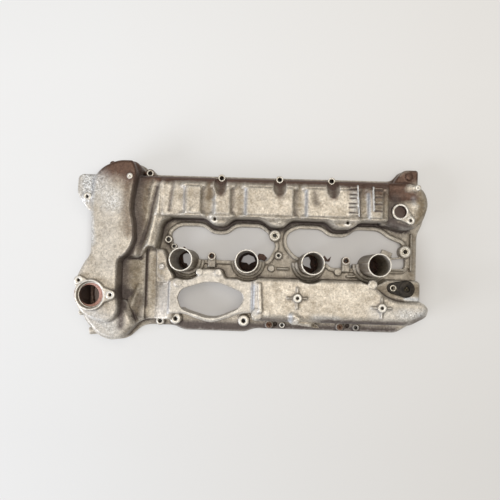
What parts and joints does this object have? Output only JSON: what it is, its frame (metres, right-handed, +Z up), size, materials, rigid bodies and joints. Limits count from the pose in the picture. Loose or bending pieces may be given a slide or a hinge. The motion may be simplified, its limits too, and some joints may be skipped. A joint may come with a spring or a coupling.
{
  "type": "engine valve cover",
  "caption": "Used cast aluminium valve cover of a V8 head, with four coil towers, long openings and a camshaft sensor.",
  "frame": {"origin": "in the sealing plane, at the middle of the cover's length and width", "axes": "+X along the row of coil towers away from the chain case, +Y across the head towards the upper camshaft housing, +Z up out of the engine, along the coil towers"},
  "size_m": [0.553, 0.287, 0.105],
  "materials": {
    "cast_aluminium": "die-cast, dull, with brown oil varnish; boss tops and faces milled bright",
    "tower_seal_rubber": "oily, hardened and torn",
    "gasket_rubber": "moulded, satin",
    "black_plastic": "moulded, glass-filled, dusty",
    "rusty_steel": "light surface rust",
    "zinc_steel": "zinc plated, stained",
    "sheet_steel": "pressed sheet with an oil film",
    "tinned_brass": "dull"
  },
  "bodies": {
    "root": {"cover_casting": "cast_aluminium", "perimeter_gasket": "gasket_rubber", "tower_seal_1": "tower_seal_rubber", "tower_seal_2": "tower_seal_rubber", "tower_seal_3": "tower_seal_rubber", "tower_seal_4": "tower_seal_rubber", "camshaft_sensor": "black_plastic", "sensor_contacts": "tinned_brass", "sensor_o_ring": "gasket_rubber", "sensor_sleeve": "zinc_steel", "baffle_plate": "sheet_steel", "baffle_screws": "zinc_steel", "edge_bolt_left": "rusty_steel", "edge_bolt_right": "rusty_steel", "insert_left": "rusty_steel", "insert_right": "rusty_steel", "spacer_sleeve_middle": "zinc_steel", "spacer_sleeve_right": "zinc_steel", "dowel_lower": "zinc_steel", "dowel_upper": "zinc_steel"}
  },
  "joints": []
}
